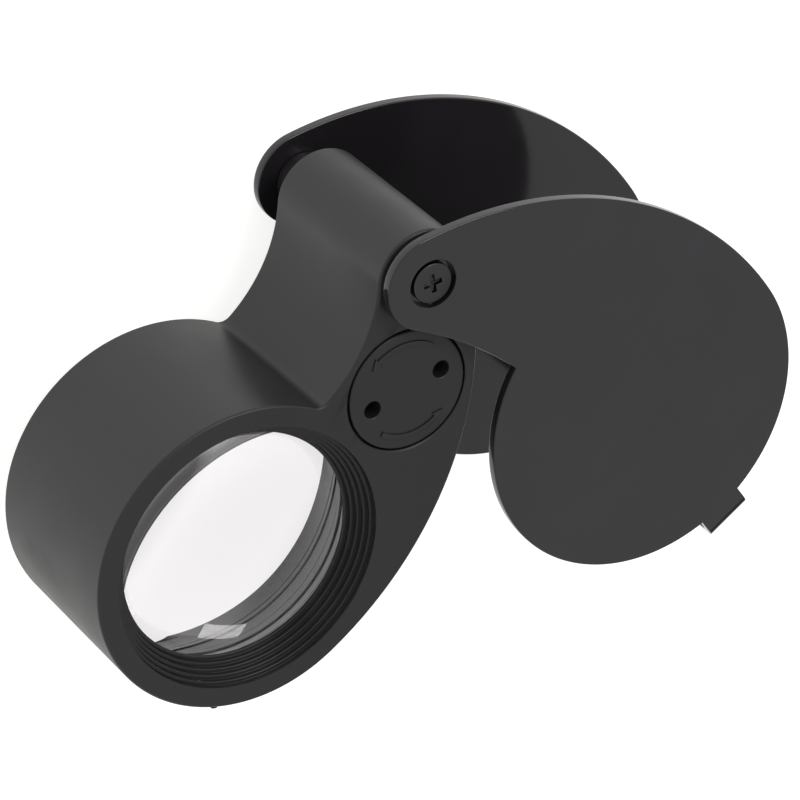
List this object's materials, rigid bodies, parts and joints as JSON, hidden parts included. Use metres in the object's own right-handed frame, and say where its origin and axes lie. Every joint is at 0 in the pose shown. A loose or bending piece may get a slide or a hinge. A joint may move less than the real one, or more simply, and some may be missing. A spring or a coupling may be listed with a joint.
{
  "type": "jewelers loupe",
  "caption": "Folding pocket loupe: a lighted round lens unit swings on a pivot out of a U-shaped sheet-metal cover.",
  "frame": {"origin": "centre of the round part of the rear cover plate, on the plate's outer face, on which the loupe lies", "axes": "+Z along the lens axis towards the eye side; +Y along the cover from the pivot to the bridge; +X to the side the opened lens unit stands on"},
  "size_m": [0.0633, 0.0634, 0.025],
  "materials": {
    "cover_paint": "satin black paint on steel sheet",
    "housing_plastic": "fine satin black moulding",
    "cap_plastic": "satin black moulding",
    "knob_plastic": "satin black moulding",
    "screw_black": "blackened steel",
    "post_steel": "turned steel",
    "spring_steel": "spring steel",
    "washer_nylon": "natural nylon",
    "spacer_acetal": "black acetal",
    "lens_glass": "clear polished glass",
    "spacer_aluminium": "dark grey anodised aluminium",
    "retainer_black": "black anodised ring",
    "cell_steel": "nickel-plated steel",
    "contact_nickel": "nickel-plated spring metal",
    "board_laminate": "green laminate",
    "led_epoxy": "clear epoxy",
    "lead_tin": "tinned wire",
    "wiper_copper": "copper alloy",
    "bush_brass": "turned brass",
    "seal_rubber": "matt black rubber"
  },
  "bodies": {
    "cover": {"cover_shell": "cover_paint", "pivot_post": "post_steel", "front_washer": "washer_nylon", "rear_spacer": "spacer_acetal", "spring_washer": "spring_steel", "front_pivot_screw": "screw_black", "rear_pivot_screw": "screw_black"},
    "lens_unit": {"lens_housing": "housing_plastic", "front_lens": "lens_glass", "rear_lens": "lens_glass", "lens_spacer": "spacer_aluminium", "lens_retainer": "retainer_black", "battery_cell_1": "cell_steel", "battery_cell_2": "cell_steel", "battery_cell_3": "cell_steel", "battery_spring": "contact_nickel", "side_contact": "contact_nickel", "circuit_board": "board_laminate", "light_bezel": "housing_plastic", "led_1": "led_epoxy", "led_2": "led_epoxy", "led_1_anode": "lead_tin", "led_1_cathode": "lead_tin", "led_2_anode": "lead_tin", "led_2_cathode": "lead_tin", "boss_bush": "bush_brass", "cap_seal": "seal_rubber"},
    "battery_cap": {"battery_cap": "cap_plastic", "cap_contact": "contact_nickel"},
    "light_switch": {"light_switch_knob": "knob_plastic", "switch_wiper": "wiper_copper"}
  },
  "joints": [
    {"name": "lens_swing", "type": "hinge", "parent": "cover", "child": "lens_unit", "pos_m": [0, -0.0305, 0.0138], "axis": [0, 0, 1], "range_deg": [-93.25, 86.75]},
    {"name": "battery_cap_turn", "type": "hinge", "parent": "lens_unit", "child": "battery_cap", "pos_m": [0.00975, -0.02444, 0.0217], "axis": [0, 0, 1], "range_deg": [0, 60]},
    {"name": "light_switch_slide", "type": "slide", "parent": "lens_unit", "child": "light_switch", "axis": [-0.0567, 0.9984, 0], "range_m": [0, 0.002]}
  ]
}
